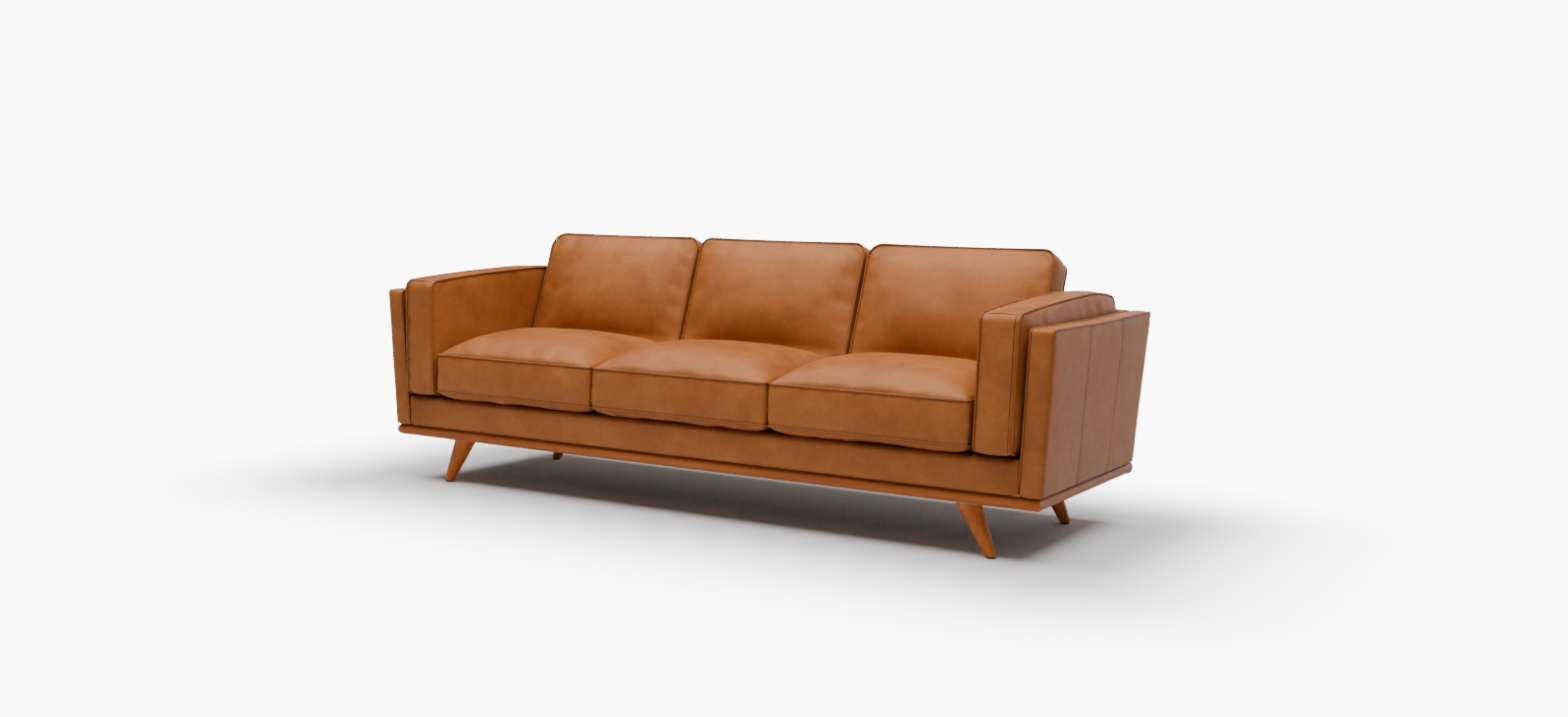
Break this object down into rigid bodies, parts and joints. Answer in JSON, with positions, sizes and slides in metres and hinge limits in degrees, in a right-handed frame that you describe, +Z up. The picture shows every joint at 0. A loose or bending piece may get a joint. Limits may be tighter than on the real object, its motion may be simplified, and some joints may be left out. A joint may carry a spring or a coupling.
{
  "type": "sofa",
  "caption": "Sofa with loose leather seat and back cushions, upholstered box arms, a rounded wooden plinth and splayed tapered wooden legs.",
  "frame": {"origin": "on the floor under the middle of the sofa's outline", "axes": "+X along the sofa to the sitter's left, which is the viewer's right; +Y from the seat's front to the back; +Z up"},
  "size_m": [2.2596, 0.849, 0.812],
  "materials": {
    "leather": "satin",
    "stained_wood": "satin",
    "frame_wood": "matte",
    "steel": "satin",
    "nylon": "matte",
    "foam": "matte",
    "deck_cloth": "matte",
    "dust_cloth": "matte",
    "webbing": "matte",
    "zip_tape": "matte"
  },
  "bodies": {
    "frame": {"arm_bolts": "steel", "arm_frame_left": "frame_wood", "arm_frame_right": "frame_wood", "arm_pad_core_left": "foam", "arm_pad_core_right": "foam", "arm_pad_cover_left": "leather", "arm_pad_cover_right": "leather", "back_frame": "frame_wood", "back_webbing": "webbing", "corner_blocks": "frame_wood", "dust_cover": "dust_cloth", "frame_screws": "steel", "front_rail_cover": "leather", "inside_back_cover": "leather", "inside_back_foam": "foam", "leg_front_left": "stained_wood", "leg_front_right": "stained_wood", "leg_glides": "nylon", "leg_hanger_bolts": "steel", "leg_plate_screws": "steel", "leg_plates": "steel", "leg_rear_left": "stained_wood", "leg_rear_right": "stained_wood", "outer_arm_left": "leather", "outer_arm_right": "leather", "outer_back": "leather", "plinth_front_rail": "stained_wood", "plinth_left_rail": "stained_wood", "plinth_rear_rail": "stained_wood", "plinth_right_rail": "stained_wood", "plinth_stretchers": "stained_wood", "seat_centre_ties": "frame_wood", "seat_deck": "deck_cloth", "seat_front_rail": "frame_wood", "seat_left_rail": "frame_wood", "seat_rear_rail": "frame_wood", "seat_right_rail": "frame_wood", "seat_springs": "steel", "spring_clips": "steel"},
    "seat_cushion_left": {"seat_cushion_cover_left": "leather", "seat_cushion_core_left": "foam", "seat_cushion_zip_left": "zip_tape"},
    "back_cushion_left": {"back_cushion_cover_left": "leather", "back_cushion_core_left": "foam", "back_cushion_zip_left": "zip_tape"},
    "seat_cushion_centre": {"seat_cushion_cover_centre": "leather", "seat_cushion_core_centre": "foam", "seat_cushion_zip_centre": "zip_tape"},
    "back_cushion_centre": {"back_cushion_cover_centre": "leather", "back_cushion_core_centre": "foam", "back_cushion_zip_centre": "zip_tape"},
    "seat_cushion_right": {"seat_cushion_cover_right": "leather", "seat_cushion_core_right": "foam", "seat_cushion_zip_right": "zip_tape"},
    "back_cushion_right": {"back_cushion_cover_right": "leather", "back_cushion_core_right": "foam", "back_cushion_zip_right": "zip_tape"}
  },
  "joints": [
    {"name": "seat_left_slide", "type": "slide", "parent": "frame", "child": "seat_cushion_left", "axis": [0, -1, 0], "range_m": [0, 0.25]},
    {"name": "back_left_lift", "type": "slide", "parent": "frame", "child": "back_cushion_left", "axis": [0, 0.342, 0.9397], "range_m": [0, 0.25]},
    {"name": "seat_centre_slide", "type": "slide", "parent": "frame", "child": "seat_cushion_centre", "axis": [0, -1, 0], "range_m": [0, 0.25]},
    {"name": "back_centre_lift", "type": "slide", "parent": "frame", "child": "back_cushion_centre", "axis": [0, 0.342, 0.9397], "range_m": [0, 0.25]},
    {"name": "seat_right_slide", "type": "slide", "parent": "frame", "child": "seat_cushion_right", "axis": [0, -1, 0], "range_m": [0, 0.25]},
    {"name": "back_right_lift", "type": "slide", "parent": "frame", "child": "back_cushion_right", "axis": [0, 0.342, 0.9397], "range_m": [0, 0.25]}
  ]
}
